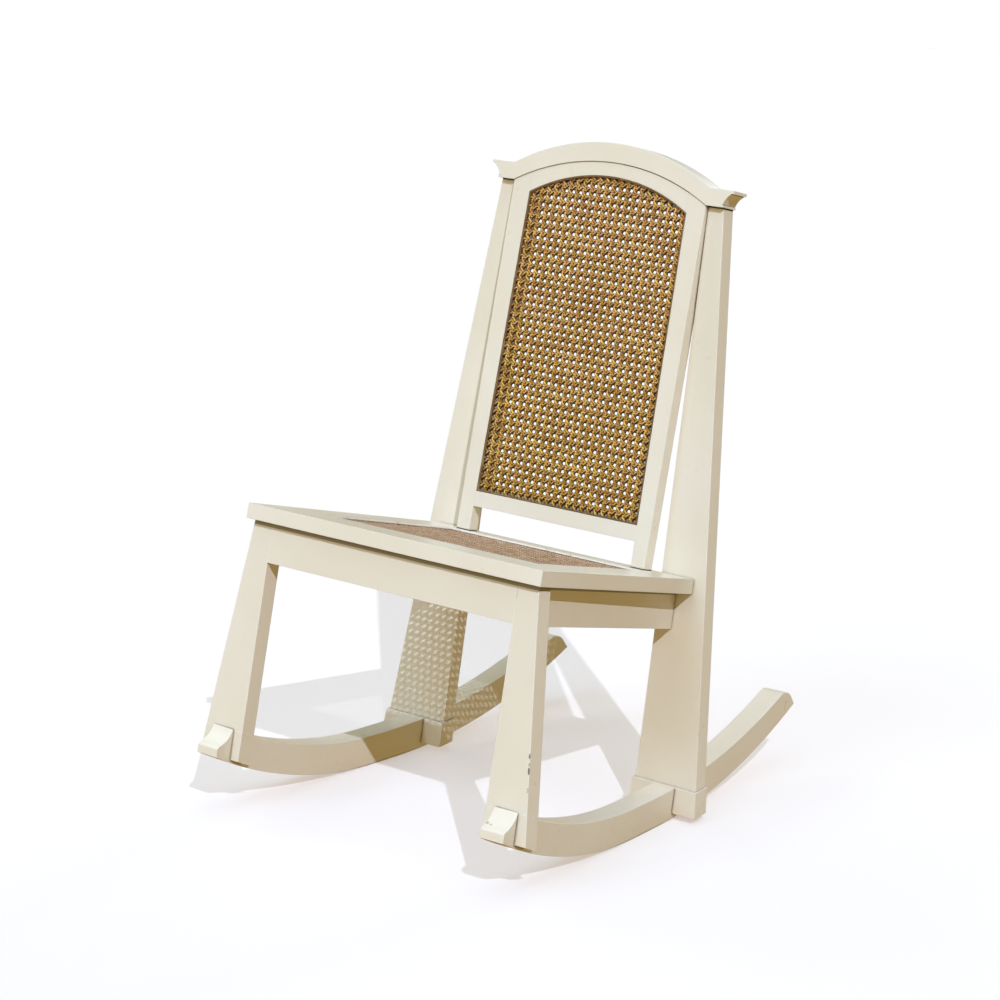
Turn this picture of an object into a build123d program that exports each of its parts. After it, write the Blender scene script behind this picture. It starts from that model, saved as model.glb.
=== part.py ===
from build123d import *
from math import asin, atan2, cos, hypot, radians, sin, sqrt, tan
import os

# A low armless rocking chair: painted frame, cane seat and cane back, two curved runners.
# Millimetres. Seen from the front, +X is to the right, +Y runs to the back and +Z is up.
# While it is drawn, y = 0 is the seat's front top edge and z = 0 is the floor.
# At the end everything moves so that the origin is under the middle of the chair's box.

# Seat frame
seat_front_width = 463.0
seat_depth = 404.0
seat_thickness = 20.0
seat_front_height = 405.5
seat_slope_angle = 11.9
seat_taper_angle = 3.0
seat_front_rail_width = 82.0
seat_side_rail_width = 56.0
seat_rear_rail_width = 46.0
seat_overhang = 9.8

# Cane panels, their ledges and splines
ledge_width = 10.0
cane_thickness = 2.5
cane_clearance = 0.3
seat_spline_width = 4.0
back_spline_width = 2.4
spline_height = 2.5
weave_pitch = 11.4
cells_per_gap = 2
gap_width = 15.0
gap_sides = 8
net_border = 14.0

# Front legs
leg_lean_angle = 8.7
leg_thickness = 25.0
leg_top_inset = 37.5
leg_top_width = 30.0
leg_foot_width = 61.0
front_foot_inset = 5.5
front_cheek_raise = 4.0

# Rear posts and the blocks at their feet
post_lean_angle = 6.4
post_thickness = 24.0
post_top_inset = 77.0
post_top_width = 23.5
post_foot_width = 95.0
rear_foot_inset = 22.0
foot_side_reveal = 2.5
foot_front_reveal = 5.0
foot_back_reveal = 1.0
rear_cheek_raise = 8.0

# Runners
runner_width = 34.0
runner_height = 42.0
runner_tail_height = 35.0
runner_front_radius = 722.0
runner_rear_radius = 964.0
runner_land = 40.0
runner_low_y = 281.0
toe_length = 30.0
toe_nose_height = 13.0
toe_hollow = 4.0
toe_round = 5.0
toe_shoulder = 1.5
tail_reach = 419.0
tail_rake = 10.0
tail_round = 29.0

# Aprons and the corner blocks between them
apron_depth = 52.0
apron_thickness = 20.0
side_apron_front_inset = 16.5
side_apron_rear_inset = 45.5
block_reach = 60.0
block_height = 36.0

# Back frame
frame_setback = 39.0
back_recline_angle = 10.2
frame_thickness = 19.5
back_gap = 35.0
bottom_rail_height = 21.5
opening_side_height = 418.5
opening_rise = 34.5
stile_top_width = 27.7
stile_foot_width = 22.0
stile_post_gap = 0.5
stile_foot_gap = 4.3

# Crest rail
crest_height = 23.5
crest_rise = 40.0
crest_top_rise = 42.5
crest_top_spread = 3.0
crest_depth = 34.0
crest_proud = 1.5
crest_above_opening = 13.5
crest_overhang = 2.5
crest_tip_overhang = 15.5
crest_top_fillet = 4.5
crest_bottom_fillet = 3.0
crest_fillet_step = 2.5
crest_cavetto = 1.5

# Dowels and screws
dowel_radius = 4.0
dowel_length = 36.0
dowel_clearance = 0.15
dowel_end_gap = 1.0
apron_dowel_drops = (12.0, 32.0)
side_dowel_drop = 42.0
rear_dowel_bite = 12.0
rail_dowel_spread = 28.0
rail_dowel_drop = 11.0
stile_dowel_bite = 12.0
top_rail_dowel_rise = 13.0
crest_dowel_bite = 12.0
crest_dowel_x = 60.0
screw_radius = 2.2
screw_head_radius = 4.5
screw_head_height = 3.0
screw_clearance = 0.15
block_screw_drop = 22.0
block_screw_bite = 16.0
seat_screw_inset = 10.0
seat_screw_along = 30.0
seat_screw_bite = 13.0
stile_screw_bite = 24.0
stile_screw_sink = 1.0
foot_screw_sink = 12.0
foot_screw_bite = 36.0

# How far rough pieces run past the face that trims them
overrun = 60.0

# Steps of the search for the place where a foot meets its runner
foot_search_steps = 30

side_x = Vector(1, 0, 0)

# Places across the chair, all measured in from the seat's front corners
seat_corner_x = seat_front_width / 2
leg_top_inner_x = seat_corner_x - leg_top_inset
front_foot_centre_x = seat_corner_x - front_foot_inset
post_top_inner_x = seat_corner_x - post_top_inset
rear_foot_centre_x = seat_corner_x - rear_foot_inset
side_apron_front_x = seat_corner_x - side_apron_front_inset
side_apron_rear_x = seat_corner_x - side_apron_rear_inset
stile_top_outer_x = post_top_inner_x - stile_post_gap
stile_top_inner_x = stile_top_outer_x - stile_top_width


def leaning(angle):
    """Upward direction that leans back by an angle in degrees."""
    return Vector(0, sin(radians(angle)), cos(radians(angle)))


def frame_at(point, angle):
    """Frame with X across the chair, Z up along a lean and Y pointing back."""
    return Plane(origin=point, x_dir=side_x, z_dir=leaning(angle))


def outline(*points):
    """Flat face with straight edges through the points."""
    return make_face(Polyline(*points, close=True))


def front_board(face, frame, front, back):
    """Piece drawn in front view (x, up), from one depth to another in a leaning frame."""
    placed = Plane.XZ.offset(-front) * face
    return frame.location * extrude(placed, amount=back - front, dir=(0, 1, 0))


def plan_board(face, frame, low, high):
    """Piece drawn in plan (x, back), from one height to another in a leaning frame."""
    placed = Plane.XY.offset(low) * face
    return frame.location * extrude(placed, amount=high - low, dir=(0, 0, 1))


def side_board(face, frame, width):
    """Piece drawn in side view (back, up), centred on a frame's middle plane."""
    return frame.location * extrude(Plane.YZ * face, amount=width / 2, both=True)


def keep_above(piece, plane):
    """The piece's share on the side that the plane's normal points to."""
    return split(piece, bisect_by=plane, keep=Keep.TOP)


def keep_below(piece, plane):
    """The piece's share on the other side of the plane."""
    return split(piece, bisect_by=plane, keep=Keep.BOTTOM)


def meet(point, direction, plane):
    """Point where a straight line crosses a plane."""
    reach = (plane.origin - point).dot(plane.z_dir) / direction.dot(plane.z_dir)
    return point + direction * reach


def line_at(low, high, height):
    """Value at a height on the straight line through two (value, height) pairs."""
    share = (height - low[1]) / (high[1] - low[1])
    return low[0] + (high[0] - low[0]) * share


def rod(point, direction, radius, before, after):
    """Round bar along a direction, from before a point to after it."""
    start = Plane(origin=point - direction * before, z_dir=direction)
    return start.location * Cylinder(radius, before + after, align=(Align.CENTER, Align.CENTER, Align.MIN))


def mirrored(piece):
    """The same piece on the other side of the chair."""
    return mirror(piece, about=Plane.YZ)


# Reference frames, from the seat outwards
seat = frame_at(Vector(0, 0, seat_front_height), seat_slope_angle)
seat_back = seat.from_local_coords(Vector(0, 1, 0)) - seat.origin
seat_underside = Plane(
    origin=seat.from_local_coords(Vector(0, 0, -seat_thickness)), x_dir=side_x, z_dir=seat.z_dir)
leg = frame_at(seat.from_local_coords(Vector(0, seat_overhang, -seat_thickness)), leg_lean_angle)
post = frame_at(seat.from_local_coords(Vector(0, seat_depth, 0)), post_lean_angle)
back = frame_at(seat.from_local_coords(Vector(0, seat_depth - frame_setback, 0)), back_recline_angle)
leg_rear_face = Plane(
    origin=leg.from_local_coords(Vector(0, leg_thickness, 0)), x_dir=side_x, z_dir=leg.y_dir)
post_front_face = Plane(origin=post.origin, x_dir=side_x, z_dir=post.y_dir)

# Heights on the back frame, measured up its face from the seat
opening_foot = back_gap + bottom_rail_height
opening_shoulder = opening_foot + opening_side_height
crest_seat = opening_shoulder + crest_above_opening
crest_underside = Plane(
    origin=back.from_local_coords(Vector(0, 0, crest_seat)), x_dir=side_x, z_dir=back.z_dir)
rebate_depth = cane_thickness + spline_height


# Behind its land the runner grows thinner, so its top curve there is flatter than its sole
tail_turn = asin((tail_reach - runner_land / 2) / runner_rear_radius)
top_flattening = (runner_height - runner_tail_height) / (1 - cos(tail_turn))


def sole_height(along, rise):
    """Height of the curve that starts a rise above the runner's land, at a distance from its low point."""
    radius = runner_front_radius - rise
    if along > 0:
        radius = runner_rear_radius - rise + top_flattening * rise / runner_height
    reach = max(abs(along) - runner_land / 2, 0)
    return rise + radius - sqrt(radius ** 2 - reach ** 2)


def sole_point(along, rise):
    """Point (along, up) on the curve that starts a rise above the runner's land."""
    return (along, sole_height(along, rise))


def sole_curve(front, rear, rise):
    """Front arc, level land and rear arc of the curve that starts a rise above the runner's land."""
    land = runner_land / 2
    return [
        ThreePointArc(sole_point(front, rise), sole_point((front - land) / 2, rise), sole_point(-land, rise)),
        Line(sole_point(-land, rise), sole_point(land, rise)),
        ThreePointArc(sole_point(land, rise), sole_point((land + rear) / 2, rise), sole_point(rear, rise)),
    ]


def runner_band(front, rear, low, high, width):
    """Solid between two curves that follow the runner's sole, with upright ends."""
    ends = [
        Line(sole_point(front, low), sole_point(front, high)),
        Line(sole_point(rear, low), sole_point(rear, high)),
    ]
    face = make_face(sole_curve(front, rear, low) + sole_curve(front, rear, high) + ends)
    return side_board(face, runner, width)


def foot_on_runner(frame):
    """Where a leaning front face comes down on the runner's top: its y and z."""
    y = frame.origin.Y
    z = frame.origin.Z
    slope = frame.z_dir.Y / frame.z_dir.Z
    for _ in range(foot_search_steps):
        y = frame.origin.Y + (z - frame.origin.Z) * slope
        z = sole_height(y - runner_low_y, runner_height)
    return y, z


# Runner frame: its centre line in plan passes under the middles of the front and rear feet
leg_foot_y, leg_foot_z = foot_on_runner(leg)
post_foot_y, post_foot_z = foot_on_runner(post)
front_foot_y = leg_foot_y + leg_thickness / 2
rear_foot_y = post_foot_y + post_thickness / 2
toe_in = atan2(front_foot_centre_x - rear_foot_centre_x, rear_foot_y - front_foot_y)
runner_low_x = line_at(
    (front_foot_centre_x, front_foot_y), (rear_foot_centre_x, rear_foot_y), runner_low_y)
runner = Plane(
    origin=Vector(runner_low_x, runner_low_y, 0), x_dir=Vector(cos(toe_in), sin(toe_in), 0), z_dir=(0, 0, 1))
leg_foot_up = -(leg.origin.Z - leg_foot_z) / leg.z_dir.Z
post_foot_up = -(post.origin.Z - post_foot_z) / post.z_dir.Z
post_top_up = (meet(post.origin, post.z_dir, crest_underside) - post.origin).length


def leg_inner(up):
    """Inner edge of the front leg at a height on its face."""
    return line_at((front_foot_centre_x - leg_foot_width / 2, leg_foot_up), (leg_top_inner_x, 0), up)


def leg_outer(up):
    """Outer edge of the front leg at a height on its face."""
    return line_at(
        (front_foot_centre_x + leg_foot_width / 2, leg_foot_up), (leg_top_inner_x + leg_top_width, 0), up)


def post_inner(up):
    """Inner edge of the rear post at a height on its face."""
    return line_at(
        (rear_foot_centre_x - post_foot_width / 2, post_foot_up), (post_top_inner_x, post_top_up), up)


def post_outer(up):
    """Outer edge of the rear post at a height on its face."""
    return line_at(
        (rear_foot_centre_x + post_foot_width / 2, post_foot_up),
        (post_top_inner_x + post_top_width, post_top_up), up)


def tapered_face(inner, outer, low, high, reveal):
    """Front view of a tapered upright between two heights, widened by a reveal on each side."""
    return outline(
        (inner(low) - reveal, low), (outer(low) + reveal, low),
        (outer(high) + reveal, high), (inner(high) - reveal, high))


def make_runner():
    """Curved runner with an ogee toe in front and a rounded tail behind."""
    toe_top = (leg_foot_y - runner_low_y) / cos(toe_in) - toe_shoulder
    nose = toe_top - toe_length
    nose_foot = sole_point(nose, 0)
    nose_lean = tan(radians(leg_lean_angle))
    nose_top = (nose + toe_nose_height * nose_lean, nose_foot[1] + toe_nose_height)
    shoulder = sole_point(toe_top, runner_height)
    hollow = ((nose_top[0] + shoulder[0]) / 2 + toe_hollow / 2, (nose_top[1] + shoulder[1]) / 2 - toe_hollow)
    tail_foot = sole_point(tail_reach, 0)
    tail_top = sole_point(tail_reach - runner_tail_height * sin(tail_turn) - tail_rake, runner_height)
    edges = sole_curve(nose, tail_reach, 0)
    edges += sole_curve(toe_top, tail_top[0], runner_height)
    edges += [Line(nose_foot, nose_top), ThreePointArc(nose_top, hollow, shoulder), Line(tail_foot, tail_top)]
    body = side_board(make_face(edges), runner, runner_width)
    across = Axis(runner.origin, runner.x_dir)
    tail_corner = body.edges().filter_by(across).sort_by(Axis.Y)[-2:].sort_by(Axis.Z)[-1]
    body = fillet(tail_corner, tail_round)
    nose_corner = body.edges().filter_by(across).sort_by(Axis.Y)[:2].sort_by(Axis.Z)[-1]
    return fillet(nose_corner, toe_round)


def make_foot_cheeks(blank, front, rear, cheek_raise):
    """Outer and inner cheek that close a foot on both sides of the runner."""
    band = runner_band(front, rear, cheek_raise, runner_height, 2 * post_foot_width)
    foot = blank & band
    outer_point = runner.from_local_coords(Vector(runner_width / 2, 0, 0))
    inner_point = runner.from_local_coords(Vector(-runner_width / 2, 0, 0))
    outer_face = Plane(origin=outer_point, x_dir=runner.y_dir, z_dir=runner.x_dir)
    inner_face = Plane(origin=inner_point, x_dir=runner.y_dir, z_dir=runner.x_dir)
    return keep_above(foot, outer_face), keep_below(foot, inner_face)


# Runners, legs, posts and foot cheeks of the right side
right = {}
right["runner"] = make_runner()
reach_front = leg_foot_y - runner_low_y - overrun
reach_rear = post_foot_y - runner_low_y + post_thickness + overrun
below_top = runner_band(reach_front, reach_rear, -overrun, runner_height, 2 * post_foot_width)

leg_blank = front_board(
    tapered_face(leg_inner, leg_outer, leg_foot_up - overrun, overrun, 0), leg, 0, leg_thickness)
right["front_leg"] = keep_below(leg_blank, seat_underside) - below_top
right["front_outer_cheek"], right["front_inner_cheek"] = make_foot_cheeks(
    leg_blank, reach_front, reach_rear, front_cheek_raise)

post_blank = front_board(
    tapered_face(post_inner, post_outer, post_foot_up - overrun, post_top_up + overrun, 0),
    post, 0, post_thickness)
right["rear_post"] = keep_below(post_blank, crest_underside) - below_top
post_foot_blank = front_board(
    tapered_face(post_inner, post_outer, post_foot_up - overrun, post_foot_up + overrun, foot_side_reveal),
    post, -foot_front_reveal, post_thickness + foot_back_reveal)
right["rear_outer_cheek"], right["rear_inner_cheek"] = make_foot_cheeks(
    post_foot_blank, reach_front, reach_rear, rear_cheek_raise)

# Seat frame, drawn in plan on the seat's top face
middle = {}
opening_front = seat_front_rail_width
opening_rear = seat_depth - seat_rear_rail_width
front_joint = opening_front + ledge_width
rear_joint = opening_rear - ledge_width


def seat_edge(along):
    """Half of the seat's width at a distance from its front edge."""
    return seat_corner_x - along * tan(radians(seat_taper_angle))


def seat_opening_edge(along):
    """Half of the cane opening's width at a distance from the seat's front edge."""
    return seat_edge(along) - seat_side_rail_width


def seat_strip(edge, front, rear):
    """Plan of a strip of the seat between two distances, as wide as an edge function says."""
    return outline((-edge(front), front), (edge(front), front), (edge(rear), rear), (-edge(rear), rear))


seat_opening = seat_strip(seat_opening_edge, opening_front, opening_rear)
seat_rebate = plan_board(seat_opening, seat, -rebate_depth, overrun)
front_rail_blank = plan_board(seat_strip(seat_edge, 0, front_joint), seat, -seat_thickness, 0)
middle["seat_front_rail"] = front_rail_blank - seat_rebate
rear_rail_blank = plan_board(
    seat_strip(seat_edge, rear_joint, seat_depth + overrun), seat, -seat_thickness, 0)
middle["seat_rear_rail"] = keep_below(rear_rail_blank, post_front_face) - seat_rebate
side_rail_face = outline(
    (seat_edge(front_joint), front_joint), (seat_edge(rear_joint), rear_joint),
    (seat_opening_edge(rear_joint) - ledge_width, rear_joint),
    (seat_opening_edge(front_joint) - ledge_width, front_joint))
right["seat_side_rail"] = plan_board(side_rail_face, seat, -seat_thickness, 0) - seat_rebate


def inset(face, amount):
    """The face drawn in by an amount on every side."""
    return offset(face, amount=-amount, kind=Kind.INTERSECTION)


def net_face(opening, middle_point):
    """Cane sheet as one holed face: a regular grid of gaps inside a solid border."""
    sheet = inset(opening, cane_clearance)
    field = inset(opening, net_border + gap_width / 2)
    pitch = cells_per_gap * weave_pitch
    box = opening.bounding_box()
    columns = 2 * int(box.size.X / pitch / 2) + 1
    rows = 2 * int(box.size.Y / pitch / 2) + 1
    gap = RegularPolygon(gap_width / 2, gap_sides, major_radius=False, rotation=180 / gap_sides)
    grid = Location(middle_point) * GridLocations(pitch, pitch, columns, rows)
    return sheet - [place * gap for place in grid if field.face().is_inside(place.position)]


def spline_face(opening, width):
    """Ring of spline that runs round a cane panel against the rebate's wall."""
    return inset(opening, cane_clearance) - inset(opening, cane_clearance + width)


seat_middle = (0, (opening_front + opening_rear) / 2, 0)
middle["seat_cane"] = plan_board(
    net_face(seat_opening, seat_middle), seat, -rebate_depth, -rebate_depth + cane_thickness)
middle["seat_spline"] = plan_board(
    spline_face(seat_opening, seat_spline_width), seat, -spline_height, 0)

# Aprons
apron_foot = -seat_thickness - apron_depth
front_apron_face = outline(
    (-leg_inner(-apron_depth), -apron_depth), (leg_inner(-apron_depth), -apron_depth),
    (leg_inner(overrun), overrun), (-leg_inner(overrun), overrun))
middle["front_apron"] = keep_below(front_board(front_apron_face, leg, 0, apron_thickness), seat_underside)

apron_run = Vector(side_apron_rear_x - side_apron_front_x, seat_depth, 0).normalized()
apron_across = apron_thickness / apron_run.Y


def apron_outer(along):
    """Outer face of the side apron at a distance from the seat's front edge."""
    return line_at((side_apron_front_x, 0), (side_apron_rear_x, seat_depth), along)


def apron_inner(along):
    """Inner face of the side apron at a distance from the seat's front edge."""
    return apron_outer(along) - apron_across


apron_rear_end = seat_depth + overrun
side_apron_face = outline(
    (apron_outer(0), 0), (apron_outer(apron_rear_end), apron_rear_end),
    (apron_inner(apron_rear_end), apron_rear_end), (apron_inner(0), 0))
side_apron_blank = plan_board(side_apron_face, seat, apron_foot, -seat_thickness)
right["side_apron"] = keep_below(keep_above(side_apron_blank, leg_rear_face), post_front_face)
rear_apron_front = seat_depth - apron_thickness
rear_apron_blank = plan_board(
    seat_strip(apron_inner, rear_apron_front, apron_rear_end), seat, apron_foot, -seat_thickness)
middle["rear_apron"] = keep_below(rear_apron_blank, post_front_face)

# Corner blocks inside the aprons
front_apron_rear_face = Plane(
    origin=leg.from_local_coords(Vector(0, apron_thickness, 0)), x_dir=side_x, z_dir=leg.y_dir)
front_corner_along = seat.to_local_coords(
    meet(seat_underside.origin, seat_back, front_apron_rear_face)).Y
block_spread = block_reach + overrun


def corner_block(along, turn):
    """Three-sided block in an apron corner; turn is 1 at the front and -1 at the rear."""
    corner = apron_inner(along)
    face = outline(
        (corner + overrun, along - turn * overrun), (corner - block_spread, along - turn * overrun),
        (corner + overrun, along + turn * block_spread))
    block = plan_board(face, seat, -seat_thickness - block_height, -seat_thickness)
    side_face = Plane(seat.location * Plane(
        origin=(apron_inner(0), 0, 0), x_dir=apron_run, z_dir=(apron_run.Y, -apron_run.X, 0)).location)
    return keep_below(block, side_face)


right["front_corner_block"] = keep_above(corner_block(front_corner_along, 1), front_apron_rear_face)
rear_apron_front_face = Plane(
    origin=seat.from_local_coords(Vector(0, rear_apron_front, 0)), x_dir=side_x, z_dir=seat_back)
right["rear_corner_block"] = keep_below(corner_block(rear_apron_front, -1), rear_apron_front_face)

# Back frame and crest, drawn in front view on the frame's face
stile_foot_outer_x = post_inner(0) - stile_foot_gap
stile_foot_inner_x = stile_foot_outer_x - stile_foot_width


def stile_inner(up):
    """Inner edge of the back stile at a height above the seat."""
    return line_at((stile_foot_inner_x, 0), (stile_top_inner_x, opening_shoulder), up)


def stile_outer(up):
    """Outer edge of the back stile at a height above the seat."""
    return line_at((stile_foot_outer_x, 0), (stile_top_outer_x, crest_seat), up)


def arched_face(half_foot, foot, half_shoulder, shoulder, rise):
    """Upright panel with a level foot and an arched top."""
    edges = Polyline(
        (half_shoulder, shoulder), (half_foot, foot), (-half_foot, foot), (-half_shoulder, shoulder)).edges()
    arch = ThreePointArc((-half_shoulder, shoulder), (0, shoulder + rise), (half_shoulder, shoulder))
    return make_face(list(edges) + [arch])


back_opening = arched_face(
    stile_inner(opening_foot), opening_foot, stile_top_inner_x, opening_shoulder, opening_rise)
under_crest = arched_face(post_top_inner_x, -overrun, post_top_inner_x, crest_seat, crest_rise)
ledge_ring = back_opening - inset(back_opening, ledge_width)


def band_of(face, left, low, right_end, high):
    """Share of a face inside an upright box."""
    return face & outline((left, low), (right_end, low), (right_end, high), (left, high))


def rebated(face, ledge):
    """Frame member of full depth with its share of the ledge that carries the cane."""
    full = front_board(face, back, 0, frame_thickness)
    return full + front_board(ledge, back, rebate_depth, frame_thickness)


stile_head = crest_seat + crest_rise
stile_face = outline(
    (stile_inner(-overrun), -overrun), (stile_outer(-overrun), -overrun),
    (stile_outer(stile_head), stile_head),
    (stile_top_inner_x, stile_head), (stile_top_inner_x, opening_shoulder)) & under_crest
stile_ledge = band_of(ledge_ring, 0, opening_foot + ledge_width, post_top_inner_x, opening_shoulder)
seat_top = Plane(origin=seat.origin, x_dir=side_x, z_dir=seat.z_dir)
right["back_stile"] = keep_above(rebated(stile_face, stile_ledge), seat_top)

bottom_rail_face = seat_strip(stile_inner, back_gap, opening_foot)
bottom_ledge = band_of(
    ledge_ring, -post_top_inner_x, opening_foot, post_top_inner_x, opening_foot + ledge_width)
middle["back_bottom_rail"] = rebated(bottom_rail_face, bottom_ledge)
top_rail_face = band_of(
    under_crest, -stile_top_inner_x, opening_shoulder, stile_top_inner_x, stile_head) - back_opening
top_ledge = band_of(ledge_ring, -post_top_inner_x, opening_shoulder, post_top_inner_x, stile_head)
middle["back_top_rail"] = rebated(top_rail_face, top_ledge)

back_middle = (0, opening_foot + opening_side_height / 2, 0)
middle["back_cane"] = front_board(net_face(back_opening, back_middle), back, spline_height, rebate_depth)
middle["back_spline"] = front_board(spline_face(back_opening, back_spline_width), back, 0, spline_height)


def make_crest():
    """Arched crest rail with level shoulders and moulded ends."""
    spring = post_top_inner_x
    top_spring = spring + crest_top_spread
    shoulder = crest_seat + crest_height
    end = post_top_inner_x + post_top_width + crest_overhang
    tip = post_top_inner_x + post_top_width + crest_tip_overhang
    neck_top = (tip - crest_fillet_step, shoulder - crest_top_fillet)
    neck_foot = (end - crest_fillet_step / 2, crest_seat + crest_bottom_fillet)
    neck_x = (neck_top[0] + neck_foot[0]) / 2 - crest_cavetto
    neck_up = (neck_top[1] + neck_foot[1]) / 2 + crest_cavetto
    head = [(top_spring, shoulder), (tip, shoulder), (tip, neck_top[1]), neck_top]
    foot = [neck_foot, (end, neck_foot[1]), (end, crest_seat), (spring, crest_seat)]
    edges = [
        ThreePointArc((-top_spring, shoulder), (0, shoulder + crest_top_rise), (top_spring, shoulder)),
        ThreePointArc((-spring, crest_seat), (0, crest_seat + crest_rise), (spring, crest_seat)),
    ]
    for turn in (1, -1):
        edges += Polyline(*[(turn * x, up) for x, up in head]).edges()
        edges += Polyline(*[(turn * x, up) for x, up in foot]).edges()
        neck = [(turn * x, up) for x, up in (neck_top, (neck_x, neck_up), neck_foot)]
        edges.append(ThreePointArc(*neck))
    return front_board(make_face(edges), back, -crest_proud, crest_depth - crest_proud)


middle["crest_rail"] = make_crest()

# Dowels and screws: each is a solid, and a slightly larger one is drilled from the pieces that it joins
fasteners = {
    "apron_dowels": [], "seat_dowels": [], "back_dowels": [], "crest_dowels": [],
    "block_screws": [], "seat_screws": [], "stile_screws": [], "foot_screws": []}


def drill(names, hole):
    """Cuts a hole on the right side, and its mirror image where a piece spans the chair."""
    for name in names:
        if name in right:
            right[name] = right[name] - hole
        else:
            middle[name] = middle[name] - hole - mirrored(hole)


def add_pair(group, bar):
    """Adds a fastener and its mirror image to a group."""
    fasteners[group] += [bar, mirrored(bar)]


def add_dowel(group, names, point, direction, before):
    """Dowel through a joint at a point, with a stated length before the point."""
    after = dowel_length - before
    add_pair(group, rod(point, direction, dowel_radius, before, after))
    hole_radius = dowel_radius + dowel_clearance
    drill(names, rod(point, direction, hole_radius, before + dowel_end_gap, after + dowel_end_gap))


def add_screw(group, names, point, direction, bite, sink):
    """Screw whose head sits at a point, sunk by a depth, and whose tip is a bite further on."""
    head = rod(point, direction, screw_head_radius, 0, screw_head_height)
    add_pair(group, head + rod(point, direction, screw_radius, 0, bite))
    wide = screw_head_radius + screw_clearance
    hole = rod(point, direction, wide, sink, screw_head_height)
    drill(names, hole + rod(point, direction, screw_radius + screw_clearance, 0, bite + dowel_end_gap))


half_dowel = dowel_length / 2
apron_dir = seat.from_local_coords(apron_run) - seat.origin
apron_centre_x = side_apron_front_x - apron_across / 2
for drop in apron_dowel_drops:
    add_dowel(
        "apron_dowels", ["front_apron", "front_leg"],
        leg.from_local_coords(Vector(leg_inner(-drop), apron_thickness / 2, -drop)), side_x, half_dowel)
    rear_dowel_along = seat_depth - apron_thickness / 2
    add_dowel(
        "apron_dowels", ["rear_apron", "side_apron"],
        seat.from_local_coords(
            Vector(apron_inner(rear_dowel_along), rear_dowel_along, -seat_thickness - drop)),
        side_x, dowel_length - rear_dowel_bite)
side_dowel_line = seat.from_local_coords(Vector(apron_centre_x, 0, -seat_thickness - side_dowel_drop))
for face, upright in ((leg_rear_face, "front_leg"), (post_front_face, "rear_post")):
    joint_point = meet(side_dowel_line, apron_dir, face)
    add_dowel("apron_dowels", ["side_apron", upright], joint_point, apron_dir, half_dowel)

for joint, rail in ((front_joint, "seat_front_rail"), (rear_joint, "seat_rear_rail")):
    for shift in (-rail_dowel_spread / 2, rail_dowel_spread / 2):
        rail_middle = seat_edge(joint) - seat_side_rail_width / 2 + shift
        add_dowel(
            "seat_dowels", ["seat_side_rail", rail],
            seat.from_local_coords(Vector(rail_middle, joint, -rail_dowel_drop)), seat_back, half_dowel)

frame_dowel_depth = (rebate_depth + frame_thickness) / 2
rail_middle_up = back_gap + bottom_rail_height / 2
top_dowel_up = opening_shoulder + top_rail_dowel_rise
for up, rail in ((rail_middle_up, "back_bottom_rail"), (top_dowel_up, "back_top_rail")):
    joint_x = stile_inner(min(up, opening_shoulder))
    add_dowel(
        "back_dowels", [rail, "back_stile"],
        back.from_local_coords(Vector(joint_x, frame_dowel_depth, up)),
        side_x, dowel_length - stile_dowel_bite)

post_head_x = post_top_inner_x + post_top_width / 2
post_middle_line = post.from_local_coords(Vector(post_head_x, post_thickness / 2, 0))
post_head = meet(post_middle_line, post.z_dir, crest_underside)
add_dowel("crest_dowels", ["rear_post", "crest_rail"], post_head, back.z_dir, dowel_length - crest_dowel_bite)
arch_radius = (post_top_inner_x ** 2 + crest_rise ** 2) / (2 * crest_rise)
arch_drop = arch_radius - sqrt(arch_radius ** 2 - crest_dowel_x ** 2)
rail_head_up = crest_seat + crest_rise - arch_drop
rail_head = back.from_local_coords(Vector(crest_dowel_x, frame_dowel_depth, rail_head_up))
add_dowel(
    "crest_dowels", ["back_top_rail", "crest_rail"], rail_head, back.z_dir, dowel_length - crest_dowel_bite)

diagonal = block_reach / 2
for along, turn, names in (
        (front_corner_along, 1, ["front_corner_block", "front_leg", "front_apron", "side_apron"]),
        (rear_apron_front, -1, ["rear_corner_block", "rear_apron", "side_apron"])):
    block = names[0]
    rail = "seat_front_rail" if turn > 0 else "seat_rear_rail"
    inward = seat.from_local_coords(Vector(1, -turn, 0).normalized()) - seat.origin
    start = seat.from_local_coords(
        Vector(apron_inner(along) - diagonal, along + turn * diagonal, -seat_thickness - block_screw_drop))
    add_screw("block_screws", names, start, inward, hypot(diagonal, diagonal) + block_screw_bite, overrun)
    seat_screw_x = apron_inner(along) - seat_screw_inset
    seat_screw_y = along + turn * seat_screw_along
    under_block = seat.from_local_coords(Vector(seat_screw_x, seat_screw_y, -seat_thickness - block_height))
    add_screw("seat_screws", [block, rail], under_block, seat.z_dir, block_height + seat_screw_bite, overrun)

stile_foot_x = stile_foot_inner_x + stile_foot_width / 2
stile_line = back.from_local_coords(Vector(stile_foot_x, frame_thickness / 2, 0))
stile_screw_head = meet(stile_line, back.z_dir, seat_underside) + back.z_dir * stile_screw_sink
stile_screw_length = (meet(stile_line, back.z_dir, seat_top) - stile_screw_head).length + stile_screw_bite
add_screw(
    "stile_screws", ["seat_rear_rail", "back_stile"],
    stile_screw_head, back.z_dir, stile_screw_length, overrun)

for frame, foot_x, foot_y, thickness, upright in (
        (leg, front_foot_centre_x, front_foot_y, leg_thickness, "front_leg"),
        (post, rear_foot_centre_x, rear_foot_y, post_thickness, "rear_post")):
    foot_z = sole_height(foot_y - runner_low_y, foot_screw_sink)
    middle_line = frame.from_local_coords(Vector(foot_x, thickness / 2, 0))
    height = (foot_z - middle_line.Z) / frame.z_dir.Z
    head_point = middle_line + frame.z_dir * height
    bite = runner_height - foot_screw_sink + foot_screw_bite
    add_screw("foot_screws", ["runner", upright], head_point, frame.z_dir, bite, overrun)

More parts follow.
